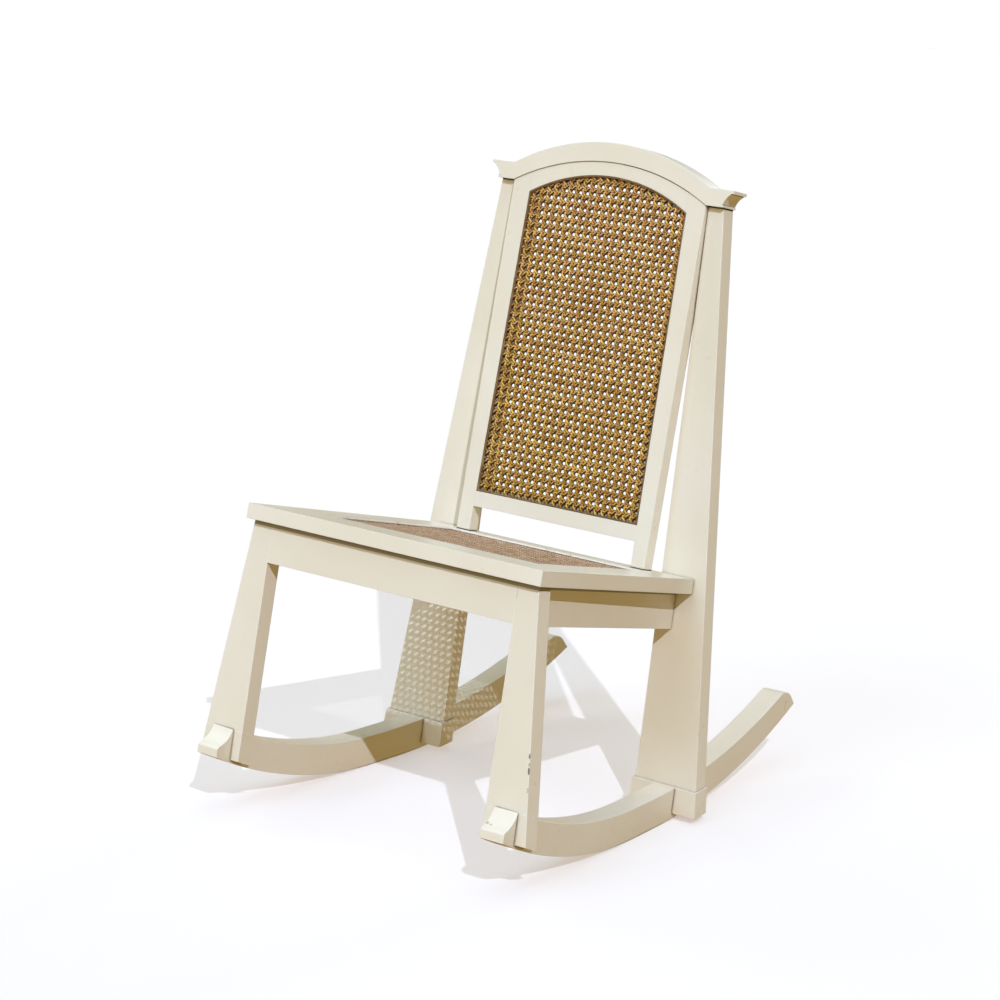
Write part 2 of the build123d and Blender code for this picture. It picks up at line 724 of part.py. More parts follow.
# Every node under its own name
nodes = dict(middle)
side_names = {
    "runner": "{}_runner", "front_leg": "front_{}_leg", "front_outer_cheek": "front_{}_outer_cheek",
    "front_inner_cheek": "front_{}_inner_cheek", "rear_post": "rear_{}_post",
    "rear_outer_cheek": "rear_{}_outer_cheek", "rear_inner_cheek": "rear_{}_inner_cheek",
    "seat_side_rail": "seat_{}_rail", "side_apron": "{}_apron", "front_corner_block": "front_{}_corner_block",
    "rear_corner_block": "rear_{}_corner_block", "back_stile": "back_{}_stile"}
for name, pattern in side_names.items():
    nodes[pattern.format("right")] = right[name]
    nodes[pattern.format("left")] = mirrored(right[name])
for name, bars in fasteners.items():
    nodes[name] = Compound(children=[bar.solid() for bar in bars])

# Origin on the floor, under the middle of the chair's box
boxes = [piece.bounding_box() for piece in nodes.values()]
middle_y = (min(box.min.Y for box in boxes) + max(box.max.Y for box in boxes)) / 2
os.makedirs("parts", exist_ok=True)
for name, piece in nodes.items():
    export_step(Pos(0, -middle_y, 0) * piece, os.path.join("parts", name + ".step"))
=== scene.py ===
import math
import random

import bpy
from mathutils import Matrix, Vector


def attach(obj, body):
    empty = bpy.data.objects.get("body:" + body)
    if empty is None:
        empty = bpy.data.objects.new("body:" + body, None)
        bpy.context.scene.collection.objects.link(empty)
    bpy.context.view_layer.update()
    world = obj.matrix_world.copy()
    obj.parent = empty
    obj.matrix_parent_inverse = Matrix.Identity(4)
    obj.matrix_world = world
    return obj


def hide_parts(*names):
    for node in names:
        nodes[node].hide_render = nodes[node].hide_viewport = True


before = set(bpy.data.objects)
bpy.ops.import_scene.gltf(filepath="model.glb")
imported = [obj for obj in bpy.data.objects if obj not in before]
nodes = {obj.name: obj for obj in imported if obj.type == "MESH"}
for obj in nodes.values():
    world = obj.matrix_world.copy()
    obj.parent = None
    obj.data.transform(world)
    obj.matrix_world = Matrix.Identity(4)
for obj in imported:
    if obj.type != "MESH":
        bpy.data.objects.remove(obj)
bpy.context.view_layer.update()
scene = bpy.context.scene
MM = 0.001
BLACK = (0, 0, 0, 1)
WHITE = (1, 1, 1, 1)
BEVEL_SAMPLES = 4
CORNER_SAMPLES = 6


# Shader building

def new_material(name):
    """A material with a Principled shader; returns it with its tree and shader."""
    mat = bpy.data.materials.new(name)
    mat.use_nodes = True
    tree = mat.node_tree
    return mat, tree, tree.nodes["Principled BSDF"]


def add(tree, kind, **inputs):
    """A shader node with its plain inputs set by name."""
    node = tree.nodes.new("ShaderNode" + kind)
    for key, value in inputs.items():
        node.inputs[key.replace("_", " ")].default_value = value
    return node


def grey(level):
    """A grey colour."""
    return (level, level, level, 1)


def stretched(tree, scale):
    """Object coordinates in metres, scaled by a different amount along each axis."""
    place = add(tree, "TexCoord")
    mapping = add(tree, "Mapping", Scale=scale)
    tree.links.new(place.outputs["Object"], mapping.inputs["Vector"])
    return mapping.outputs["Vector"]


def noise(tree, vector, scale, detail=3.0, rough=0.5):
    """Noise between 0 and 1 along a vector."""
    node = add(tree, "TexNoise", Scale=scale, Detail=detail, Roughness=rough)
    tree.links.new(vector, node.inputs["Vector"])
    return node.outputs["Fac"]


def ramp(tree, value, low, high, low_colour=BLACK, high_colour=WHITE):
    """Value turned into a colour between two stops."""
    node = tree.nodes.new("ShaderNodeValToRGB")
    node.color_ramp.elements[0].position = low
    node.color_ramp.elements[1].position = high
    node.color_ramp.elements[0].color = low_colour
    node.color_ramp.elements[1].color = high_colour
    tree.links.new(value, node.inputs["Fac"])
    return node.outputs["Color"]


def math_node(tree, operation, first, second):
    """Sum, product or the like of two values; each is a socket or a number."""
    node = tree.nodes.new("ShaderNodeMath")
    node.operation = operation
    for slot, value in zip(node.inputs, (first, second)):
        if isinstance(value, (int, float)):
            slot.default_value = value
        else:
            tree.links.new(value, slot)
    return node.outputs["Value"]


def times(tree, first, second):
    """Product of two values."""
    return math_node(tree, "MULTIPLY", first, second)


def mixed(tree, share, first, second):
    """Two colours mixed by a share; each is a socket or a colour."""
    node = tree.nodes.new("ShaderNodeMix")
    node.data_type = "RGBA"
    for slot, value in ((node.inputs[0], share), (node.inputs[6], first), (node.inputs[7], second)):
        if isinstance(value, (int, float, tuple)):
            slot.default_value = value
        else:
            tree.links.new(value, slot)
    return node.outputs[2]


def bumped(tree, layers, rounding=0.0):
    """Normal from (height, strength, distance) layers, over edges rounded by a radius."""
    normal = None
    if rounding:
        bevel = add(tree, "Bevel", Radius=rounding)
        bevel.samples = BEVEL_SAMPLES
        normal = bevel.outputs["Normal"]
    for height, strength, distance in layers:
        node = add(tree, "Bump", Strength=strength, Distance=distance)
        tree.links.new(height, node.inputs["Height"])
        if normal is not None:
            tree.links.new(normal, node.inputs["Normal"])
        normal = node.outputs["Normal"]
    return normal


def edge_mask(tree, radius):
    """About 0 on flat faces and up to 1 close to sharp edges."""
    bevel = add(tree, "Bevel", Radius=radius)
    bevel.samples = BEVEL_SAMPLES
    flat = add(tree, "NewGeometry")
    dot = tree.nodes.new("ShaderNodeVectorMath")
    dot.operation = "DOT_PRODUCT"
    tree.links.new(bevel.outputs["Normal"], dot.inputs[0])
    tree.links.new(flat.outputs["True Normal"], dot.inputs[1])
    return ramp(tree, dot.outputs["Value"], 0.86, 0.985, WHITE, BLACK)


# Cream paint, brushed along the grain of each piece

CREAM = (0.790, 0.742, 0.610, 1)
CREAM_LIGHT = (0.820, 0.780, 0.665, 1)
CREAM_WARM = (0.735, 0.668, 0.510, 1)
# Near-white cream for the painted highlight along edges
HIGHLIGHT_CREAM = (1.000, 0.990, 0.960, 1)
SHADED = (0.560, 0.450, 0.270, 1)
# Brown for dirt and painted shade in inner corners, also used for the scuffs
DIRT_AND_SHADE_BROWN = (0.170, 0.115, 0.055, 1)
# Bare wood at nicks and open joints, also the colour of the painted shade lines
BARE_GAP_AND_SHADE = (0.040, 0.026, 0.014, 1)
SHARPNESS = 2500.0  # one over the width in metres of the soft edge of dark joint lines and painted shade lines
BRUSH_STRETCH = 0.045
# Reach of the edge mask, for the painted highlight and for the nicks
HIGHLIGHT_AND_NICK_REACH = 2.8 * MM
SHADE_REACH = 32 * MM
SHADE_SHARE = 0.22
DIRT_AND_SHADE_REACH = 5 * MM
SCUFF_SHARE = 0.10
NICK_GAP_AND_SHADE_SHARE = 0.95
PAINT_ROUNDING = 1.2 * MM


def from_place(tree, operation, vector):
    """Distance or dot product between the place on the chair and a vector."""
    place = add(tree, "TexCoord")
    node = tree.nodes.new("ShaderNodeVectorMath")
    node.operation = operation
    tree.links.new(place.outputs["Object"], node.inputs[0])
    node.inputs[1].default_value = vector
    return node.outputs["Value"]


def beyond(tree, normal, offset):
    """1 past a plane and 0 before it."""
    past = math_node(tree, "SUBTRACT", from_place(tree, "DOT_PRODUCT", normal), offset)
    return ramp(tree, times(tree, past, SHARPNESS), 0.0, 1.0)


def outside(tree, centre, radius):
    """1 beyond a radius round a point and 0 within it."""
    past = math_node(tree, "SUBTRACT", from_place(tree, "DISTANCE", centre), radius)
    return ramp(tree, times(tree, past, SHARPNESS), 0.0, 1.0)


def near_point(tree, point, radius):
    """1 at a place on the chair and 0 beyond a radius of it."""
    away = math_node(tree, "DIVIDE", from_place(tree, "DISTANCE", point), radius)
    return ramp(tree, away, 0.35, 1.0, WHITE, BLACK)


def corner_mask(tree, reach, low, high):
    """1 deep in inner corners and 0 on open faces."""
    corner = add(tree, "AmbientOcclusion", Distance=reach)
    corner.samples = CORNER_SAMPLES
    return ramp(tree, corner.outputs["AO"], low, high, WHITE, BLACK)


def paint_material(name, grain, chips=(), dark_lines=(), edge_highlight=0.50, corner_dirt_and_shade=0.85):
    """Semi-gloss cream paint, brushed along the grain axis.

    Chips are (point, radius, depth) places. Dark lines are open joints and painted shade lines, each with
    the planes or balls that bound it and a depth. Edge highlight is how strong the painted highlight on the
    edges is, and corner dirt and shade how dark the inner corners are with dirt and painted shade.
    """
    mat, tree, shader = new_material(name)
    along = [1.0, 1.0, 1.0]
    along["xyz".index(grain)] = BRUSH_STRETCH
    brush = stretched(tree, along)
    plain = stretched(tree, (1, 1, 1))
    strokes = noise(tree, brush, 420.0, 4.0, 0.6)
    clouds = noise(tree, plain, 6.0, 2.0)
    mottle = noise(tree, plain, 38.0, 4.0)
    flakes = noise(tree, plain, 260.0, 3.0, 0.6)
    colour = mixed(tree, ramp(tree, clouds, 0.35, 0.70), CREAM, CREAM_LIGHT)
    colour = mixed(tree, times(tree, ramp(tree, mottle, 0.50, 0.80), 0.14), colour, CREAM_WARM)
    colour = mixed(tree, times(tree, ramp(tree, strokes, 0.50, 0.80), 0.10), colour, CREAM_WARM)
    edges = edge_mask(tree, HIGHLIGHT_AND_NICK_REACH)
    # Painted highlight: edges lightened towards near white, broken up by the mottle
    highlight = times(tree, edges, ramp(tree, mottle, 0.05, 0.50))
    colour = mixed(tree, times(tree, highlight, edge_highlight), colour, HIGHLIGHT_CREAM)
    shade = corner_mask(tree, SHADE_REACH, 0.35, 1.0)
    colour = mixed(tree, times(tree, shade, SHADE_SHARE), colour, SHADED)
    # Dirt and painted shade darken the inner corners within a few millimetres
    dirt_and_shade = times(tree, corner_mask(tree, DIRT_AND_SHADE_REACH, 0.50, 0.80), ramp(tree, mottle, 0.05, 0.45))
    colour = mixed(tree, times(tree, dirt_and_shade, corner_dirt_and_shade), colour, DIRT_AND_SHADE_BROWN)
    height = add(tree, "TexCoord")
    split = add(tree, "SeparateXYZ")
    tree.links.new(height.outputs["Object"], split.inputs["Vector"])
    low = ramp(tree, split.outputs["Z"], 0.004, 0.09, WHITE, BLACK)
    scuffs = times(tree, low, ramp(tree, noise(tree, plain, 75.0, 5.0, 0.65), 0.56, 0.76))
    colour = mixed(tree, times(tree, scuffs, SCUFF_SHARE), colour, DIRT_AND_SHADE_BROWN)
    nicks_joints_and_shade = times(tree, edges, ramp(tree, flakes, 0.86, 0.89))
    for point, radius, depth in chips:
        chip = times(tree, near_point(tree, point, radius), ramp(tree, flakes, 0.34, 0.44))
        nicks_joints_and_shade = math_node(tree, "MAXIMUM", nicks_joints_and_shade, times(tree, chip, depth))
    # Dark lines: open joints, and painted shade under the seat, under the crest and on the crest's ends
    for parts, depth in dark_lines:
        for kind, vector, amount in parts:
            depth = times(tree, depth, kind(tree, vector, amount))
        nicks_joints_and_shade = math_node(tree, "MAXIMUM", nicks_joints_and_shade, depth)
    colour = mixed(tree, times(tree, nicks_joints_and_shade, NICK_GAP_AND_SHADE_SHARE), colour, BARE_GAP_AND_SHADE)
    tree.links.new(colour, shader.inputs["Base Color"])
    tree.links.new(ramp(tree, nicks_joints_and_shade, 0.0, 1.0, grey(0.5), BLACK), shader.inputs["Specular IOR Level"])
    gloss = ramp(tree, mottle, 0.25, 0.80, grey(0.27), grey(0.36))
    tree.links.new(math_node(tree, "ADD", gloss, times(tree, nicks_joints_and_shade, 0.4)), shader.inputs["Roughness"])
    layers = ((strokes, 0.07, 0.5 * MM), (mottle, 0.03, 1.0 * MM), (nicks_joints_and_shade, -0.5, 0.5 * MM))
    tree.links.new(bumped(tree, layers, PAINT_ROUNDING), shader.inputs["Normal"])
    return mat


JOINED_HIGHLIGHT = 0.10  # painted highlight on edges that meet a flush neighbour
FAINT_DIRT_AND_SHADE = 0.30  # dirt and painted shade in the inner corners of the posts and of the seat's side rails
paint = {axis: paint_material("cream_paint_along_" + axis, axis) for axis in "yz"}
joined_paint = {
    "x": paint_material("cream_paint_joined_x", "x", edge_highlight=JOINED_HIGHLIGHT),
    "y": paint_material("cream_paint_joined_y", "y", edge_highlight=JOINED_HIGHLIGHT, corner_dirt_and_shade=FAINT_DIRT_AND_SHADE),
}
SLOPE = math.radians(11.9)
RECLINE = math.radians(10.2)
seat_normal = Vector((0, math.sin(SLOPE), math.cos(SLOPE)))
back_up = Vector((0, math.sin(RECLINE), math.cos(RECLINE)))
seat_origin = Vector((0, -0.315897, 0.4055))
back_origin = Vector((0, 0.041259, 0.330236))
# Chips along an edge of the front right leg: share of the way down it, and radius in mm
LEG_EDGE = (Vector((0.2472, -0.3416, 0.1803)), Vector((0.2518, -0.3476, 0.1407)))
CHIP_PLACES = (
    (-0.08, 1.5), (-0.03, 1.7), (0.02, 1.5), (0.21, 1.2), (0.26, 1.2), (0.35, 1.7),
    (0.40, 2.0), (0.45, 1.9), (0.50, 1.6), (0.97, 1.2), (1.04, 1.3))
chips = [(LEG_EDGE[0].lerp(LEG_EDGE[1], share), radius * MM, 1.0) for share, radius in CHIP_PLACES]
scuffs = (((0.212, -0.371, 0.095), 3.2 * MM, 0.5), ((0.218, -0.372, 0.094), 2.4 * MM, 0.5))
CREST_HEIGHT = 0.4885
SEAT_THICK = 26.0 * MM
RAIL_CENTRE_HEIGHT = 0.210122
RAIL_RADIUS = 0.318378
APRON_END = 0.1936
APRON_FOOT = 0.363
crest_foot = back_origin.dot(back_up) + CREST_HEIGHT
seat_top = seat_origin.dot(seat_normal)
rail_centre = back_origin + back_up * RAIL_CENTRE_HEIGHT


def crest_shade_line(low, high, reach):
    """Painted shade lines across both moulded ends of the crest, between two heights above its foot."""
    band = ((beyond, back_up, crest_foot + low * MM), (beyond, -back_up, -crest_foot - high * MM))
    return [(band + ((beyond, (turn, 0, 0), reach),), 0.85) for turn in (1, -1)]


# Painted shadow in a band just under the seat, on the tops of the legs and aprons
shade_under_seat = (((beyond, seat_normal, seat_top - SEAT_THICK),), 0.62)
apron_joint = (((beyond, (1, 0, 0), APRON_END), (beyond, (0, 0, 1), APRON_FOOT)), 1.0)
rail_joint = (((outside, rail_centre, RAIL_RADIUS - 1.2 * MM), (beyond, (1, 0, 0), 0.02)), 0.9)
# Painted shadow under the crest, across the tops of the rear posts
shade_under_crest = (((beyond, back_up, crest_foot - 2.0 * MM),), 1.0)
stile_joint = (((beyond, -seat_normal, -seat_top - 1.5 * MM),), 1.0)
# Painted shade lines across the moulded ends of the crest
crest_shade_lines = crest_shade_line(17.8, 19.0, 0.189) + crest_shade_line(3.0, 4.0, 0.1772)
side_apron_paint = paint_material("cream_paint_side_apron", "y", (), (shade_under_seat,))
post_paint = paint_material("cream_paint_post", "z", (), (shade_under_crest,), corner_dirt_and_shade=FAINT_DIRT_AND_SHADE)
stile_paint = paint_material("cream_paint_stile", "z", (), (stile_joint,), JOINED_HIGHLIGHT)
special_paint = {
    "front_right_leg": paint_material("cream_paint_chipped", "z", chips, (shade_under_seat,)),
    "front_left_leg": paint_material("cream_paint_leg", "z", (), (shade_under_seat,)),
    "right_runner": paint_material("cream_paint_scuffed", "y", scuffs),
    "front_apron": paint_material("cream_paint_apron", "x", (), (shade_under_seat, apron_joint)),
    "rear_apron": paint_material("cream_paint_rear_apron", "x", (), (shade_under_seat,)),
    "back_top_rail": paint_material("cream_paint_top_rail", "x", (), (rail_joint,), JOINED_HIGHLIGHT),
    "crest_rail": paint_material("cream_paint_crest", "x", (), crest_shade_lines),
}
for side in ("left", "right"):
    special_paint["rear_" + side + "_post"] = post_paint
    special_paint["back_" + side + "_stile"] = stile_paint
    special_paint[side + "_apron"] = side_apron_paint

joined_grain = {
    "x": ("seat_front_rail", "seat_rear_rail", "back_bottom_rail"),
    "y": ("seat_left_rail", "seat_right_rail"),
}


def wear(name, mat):
    """Gives a CAD node's object one material."""
    mesh = nodes[name].data
    mesh.materials.clear()
    mesh.materials.append(mat)


for axis, names in joined_grain.items():
    for name in names:
        wear(name, joined_paint[axis])
wear("left_runner", paint["y"])
for name, mat in special_paint.items():
    wear(name, mat)
for name in nodes:
    if name.endswith("_cheek"):
        wear(name, paint["z"])


# Bare wood and steel of the hidden joinery

def bare_wood_material(name, grain):
    """Unpainted wood with growth rings."""
    mat, tree, shader = new_material(name)
    along = [1.0, 1.0, 1.0]
    along["xyz".index(grain)] = 0.08
    vector = stretched(tree, along)
    rings = add(tree, "TexWave", Scale=90.0, Distortion=5.0, Detail=3.0)
    tree.links.new(vector, rings.inputs["Vector"])
    fibre = noise(tree, vector, 600.0, 4.0)
    colour = mixed(tree, rings.outputs["Fac"], (0.50, 0.34, 0.19, 1), (0.66, 0.49, 0.31, 1))
    colour = mixed(tree, times(tree, fibre, 0.5), colour, (0.38, 0.24, 0.12, 1))
    tree.links.new(colour, shader.inputs["Base Color"])
    tree.links.new(ramp(tree, fibre, 0.2, 0.8, grey(0.5), grey(0.75)), shader.inputs["Roughness"])
    tree.links.new(bumped(tree, ((fibre, 0.25, 0.4 * MM),), 0.6 * MM), shader.inputs["Normal"])
    return mat


def steel_material():
    """Plain screw steel, slightly tarnished."""
    mat, tree, shader = new_material("screw_steel")
    vector = stretched(tree, (1, 1, 1))
    stain = noise(tree, vector, 300.0, 4.0)
    colour = mixed(tree, ramp(tree, stain, 0.4, 0.75), (0.52, 0.52, 0.53, 1), (0.33, 0.28, 0.22, 1))
    tree.links.new(colour, shader.inputs["Base Color"])
    shader.inputs["Metallic"].default_value = 1.0
    tree.links.new(ramp(tree, stain, 0.3, 0.8, grey(0.28), grey(0.6)), shader.inputs["Roughness"])
    tree.links.new(bumped(tree, ((stain, 0.2, 0.2 * MM),), 0.3 * MM), shader.inputs["Normal"])
    return mat


bare_wood = bare_wood_material("bare_wood", "x")
steel = steel_material()
for name in nodes:
    if name.endswith("_dowels") or name.endswith("_corner_block"):
        wear(name, bare_wood)
    if name.endswith("_screws"):
        wear(name, steel)


# Cane: flat frames of the two panels, in metres

class Panel:
    """A flat opening: its corner outline, and the frame that carries it."""

    def __init__(self, origin, across, up, outward, outline, middle, depth):
        self.origin = Vector(origin)
        self.across = Vector(across)
        self.up = Vector(up)
        self.outward = Vector(outward)
        self.outline = outline
        self.middle = middle
        self.depth = depth

    def point(self, x, y, out=0.0):
        """Place in the row frame of a point on the panel, out from its mid sheet."""
        return self.origin + self.across * x + self.up * y + self.outward * (out - self.depth)


TAPER = math.tan(math.radians(3.0))
SEAT_HALF = 0.1755
SEAT_NEAR = 0.082
SEAT_FAR = 0.358
SHEET_DEPTH = 3.75 * MM
BACK_FOOT = 0.0565
BACK_SHOULDER = 0.475
BACK_RISE = 0.0345
BACK_FOOT_HALF = 0.1322
BACK_SHOULDER_HALF = 0.1263
near_half = SEAT_HALF - SEAT_NEAR * TAPER
far_half = SEAT_HALF - SEAT_FAR * TAPER
seat_outline = [(-near_half, SEAT_NEAR), (near_half, SEAT_NEAR), (far_half, SEAT_FAR), (-far_half, SEAT_FAR)]


def arch(half, shoulder, rise, count):
    """Points of an arched top from right to left, without its two ends."""
    radius = (half * half + rise * rise) / (2 * rise)
    reach = math.asin(half / radius)
    turns = [reach - 2 * reach * (i + 1) / (count + 1) for i in range(count)]
    return [(radius * math.sin(t), shoulder + rise - radius + radius * math.cos(t)) for t in turns]


back_outline = [(-BACK_FOOT_HALF, BACK_FOOT), (BACK_FOOT_HALF, BACK_FOOT)]
back_outline += [(BACK_SHOULDER_HALF, BACK_SHOULDER)]
back_outline += arch(BACK_SHOULDER_HALF, BACK_SHOULDER, BACK_RISE, 31)
back_outline += [(-BACK_SHOULDER_HALF, BACK_SHOULDER)]
seat_up = (0, math.cos(SLOPE), -math.sin(SLOPE))
back_outward = (0, -math.cos(RECLINE), math.sin(RECLINE))
seat_panel = Panel(seat_origin, (1, 0, 0), seat_up, seat_normal, seat_outline, (0.0, 0.220), SHEET_DEPTH)
back_panel = Panel(back_origin, (1, 0, 0), back_up, back_outward, back_outline, (0.0, 0.26575), SHEET_DEPTH)


def inset(outline, amount):
    """Convex outline, running anticlockwise, drawn in by an amount."""
    count = len(outline)
    lines = []
    for i in range(count):
        (x0, y0), (x1, y1) = outline[i], outline[(i + 1) % count]
        length = math.hypot(x1 - x0, y1 - y0)
        nx, ny = -(y1 - y0) / length, (x1 - x0) / length
        lines.append((nx, ny, nx * x0 + ny * y0 + amount))
    points = []
    for i in range(count):
        (a, b, c), (d, e, f) = lines[i - 1], lines[i]
        det = a * e - b * d
        points.append(((c * e - b * f) / det, (a * f - c * d) / det))
    return points


def clipped(outline, point, direction):
    """The (start, end) lengths along a line that lie inside a convex outline, or None."""
    low, high = -10.0, 10.0
    for i in range(len(outline)):
        (x0, y0), (x1, y1) = outline[i], outline[(i + 1) % len(outline)]
        nx, ny = -(y1 - y0), x1 - x0
        away = nx * (point[0] - x0) + ny * (point[1] - y0)
        rate = nx * direction[0] + ny * direction[1]
        if abs(rate) < 1e-12:
            if away < 0:
                return None
            continue
        if rate > 0:
            low = max(low, -away / rate)
        else:
            high = min(high, -away / rate)
    return (low, high) if high - low > 4 * MM else None


PITCH = 11.4 * MM
PAIR = 1.65 * MM  # half the distance between the two strands of a pair
SUNK = 0.7 * MM  # depth at which a strand takes its full painted shade
# Share of painted shade on a strand's side towards the next hole
RIM = 0.52
SHORTEST = 0.3 * MM
LOOSE = 0.12 * MM
OVER = 0.48 * MM
REACH = 30  # pitches from the middle of a panel to beyond its edges
# A strand's section: place across and height as shares of width and thickness, and how much painted shade
# that point takes
SECTION = ((-0.5, -0.15, 1.0), (-0.2, 0.42, 0.0), (0.2, 0.42, 0.0), (0.5, -0.15, 1.0), (0.0, -0.5, 0.0))
REAR_RISE = -0.4  # points below this are seen from behind the panel


def diagonal_wave(length, height):
    """Height of a diagonal strand: over one pair, then under the next."""
    turn = math.cos(math.pi * length / (PITCH / math.sqrt(2)))
    return height * math.tanh(2.2 * turn) / math.tanh(2.2)


def pair_wave(length, height):
    """Height of one of a pair of strands, which weaves over and under at each crossing of pairs."""
    away = (length / PITCH) % 1.0 * PITCH - PITCH / 2
    if abs(away) > 2 * PAIR:
        return 0.0
    return height * math.sin(math.pi * away / (2 * PAIR))


class Weave:
    """Six-way cane: pairs up and across, and single diagonals both ways, woven over and under."""

    def __init__(self, panel, seed, ridge, pair_width, diagonal_width, thick, drift):
        self.panel = panel
        self.chance = random.Random(seed)
        self.field = inset(panel.outline, 1.0 * MM)
        self.ridge = ridge
        self.pair_width = pair_width
        self.diagonal_width = diagonal_width
        self.thick = thick
        self.drift = drift
        self.verts, self.faces, self.shades = [], [], []

    def strand(self, point, direction, lengths, wave, width, tint, rim):
        """One domed ribbon along a line of the panel; rim paints shade on the side towards the next hole."""
        span = clipped(self.field, point, direction)
        if not span:
            return
        shade = self.chance.random()
        tint += self.chance.uniform(-0.35, 0.35)
        width *= self.chance.uniform(0.92, 1.08)
        first = len(self.verts)
        side = (-direction[1], direction[0])
        inner = [u for u in lengths if span[0] + SHORTEST < u < span[1] - SHORTEST]
        stops = [span[0]] + inner + [span[1]]
        for u in stops:
            x, y = point[0] + direction[0] * u, point[1] + direction[1] * u
            out = wave(u)
            drifted = min(max(tint + self.drift * (y - self.panel.middle[1]), 0.0), 1.0)
            for across, rise, edge in SECTION:
                offset = across * width
                self.verts.append(tuple(self.panel.point(
                    x + side[0] * offset, y + side[1] * offset, out + rise * self.thick)))
                sunk = out if rise < REAR_RISE else -out
                # Dirt and painted shade on the strand's sides, where it dives under others, and on its rim
                dirt_and_shade = max(edge, sunk / SUNK, rim if across < 0 else 0.0)
                self.shades.append((shade, drifted, min(dirt_and_shade, 1.0)))
        size = len(SECTION)
        for i in range(len(stops) - 1):
            for j in range(size):
                a, b = first + size * i + j, first + size * i + (j + 1) % size
                self.faces.append((a, b, b + size, a + size))

    def fill(self):
        """Lays all strands of the panel."""
        mx, my = self.panel.middle
        rows = range(-REACH, REACH + 1)
        near = [k * PITCH + d * PAIR for k in rows for d in (-2.0, -1.0, 0.0, 1.0, 2.0)]
        ends = [(k + 0.5) * PITCH for k in rows]
        along_pair = sorted([u + PITCH / 2 for u in near] + [u - PITCH / 2 for u in ends])
        step = PITCH / math.sqrt(2)
        along_diagonal = [k * step / 4 for k in range(-8 * REACH, 8 * REACH + 1)]
        for k in rows:
            for half in (-1, 1):
                place = (k + 0.5) * PITCH + half * PAIR + self.chance.uniform(-LOOSE, LOOSE)
                self.strand((mx + place, my), (0, 1), along_pair,
                            lambda u, s=half: pair_wave(u, s * OVER),
                            self.pair_width, 0.8, max(half * RIM, 0))
                place = (k + 0.5) * PITCH + half * PAIR + self.chance.uniform(-LOOSE, LOOSE)
                self.strand((mx, my + place), (1, 0), along_pair,
                            lambda u, s=-half: pair_wave(u, s * OVER),
                            self.pair_width, 0.0, max(-half * RIM, 0))
        root = math.sqrt(0.5)
        for k in range(-2 * REACH, 2 * REACH + 1):
            place = (k + 0.5) * PITCH
            self.strand((mx + place, my), (-root, root), along_diagonal,
                        lambda u: diagonal_wave(u, self.ridge), self.diagonal_width, 0.1, 0)
            self.strand((mx + place, my), (root, root), along_diagonal,
                        lambda u: diagonal_wave(u, -self.ridge), self.diagonal_width, 0.6, RIM)

    def piece(self, name, mat):
        """The woven panel as one mesh object."""
        self.fill()
        mesh = bpy.data.meshes.new(name)
        mesh.from_pydata(self.verts, [], self.faces)
        for i, title in enumerate(("strand_shade", "strand_tint", "strand_edge")):
            layer = mesh.attributes.new(title, "FLOAT", "POINT")
            layer.data.foreach_set("value", [shade[i] for shade in self.shades])
        mesh.polygons.foreach_set("use_smooth", [True] * len(self.faces))
        mesh.materials.append(mat)
        mesh.update()
        piece = bpy.data.objects.new(name, mesh)
        scene.collection.objects.link(piece)
        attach(piece, "root")
        return piece


def attribute(tree, title):
    """A value that the mesh holds at each point."""
    node = add(tree, "Attribute")
    node.attribute_name = title
    return node.outputs["Fac"]


def cane_material(name, dark, mid, light, rosy, stain, outline, streak, streaked, sheen):
    """Glossy natural cane; each strand has its own tone and tint, with painted shade in the weave's corners
    and dirt and painted shade along its edges.
    """
    mat, tree, shader = new_material(name)
    plain = stretched(tree, (1, 1, 1))
    blotch = noise(tree, plain, 24.0, 4.0)
    fleck = noise(tree, plain, 420.0, 3.0, 0.6)
    fibre = noise(tree, plain, 1500.0, 2.0)
    colour = mixed(tree, ramp(tree, attribute(tree, "strand_shade"), 0.25, 0.65), mid, light)
    colour = mixed(tree, attribute(tree, "strand_tint"), colour, rosy)
    colour = mixed(tree, times(tree, ramp(tree, fleck, 0.46, 0.72), 0.5), colour, dark)
    colour = mixed(tree, times(tree, ramp(tree, blotch, 0.50, 0.78), 0.4), colour, stain)
    streaks = noise(tree, stretched(tree, streak), 1.0, 2.0)
    colour = mixed(tree, times(tree, ramp(tree, streaks, 0.47, 0.62), streaked), colour, stain)
    # Painted shade in the inner corners of the weave
    colour = mixed(tree, times(tree, corner_mask(tree, 3 * MM, 0.15, 0.80), 0.8), colour, dark)
    # Dirt and painted shade along the strands' edges, with the share given by outline
    edges = ramp(tree, attribute(tree, "strand_edge"), 0.10, 0.52)
    colour = mixed(tree, times(tree, edges, outline), colour, dark)
    shader.inputs["Specular IOR Level"].default_value = sheen
    tree.links.new(colour, shader.inputs["Base Color"])
    tree.links.new(ramp(tree, fleck, 0.3, 0.8, grey(0.45), grey(0.70)), shader.inputs["Roughness"])
    layers = ((fleck, 0.2, 0.3 * MM), (fibre, 0.1, 0.15 * MM))
    tree.links.new(bumped(tree, layers), shader.inputs["Normal"])
    return mat


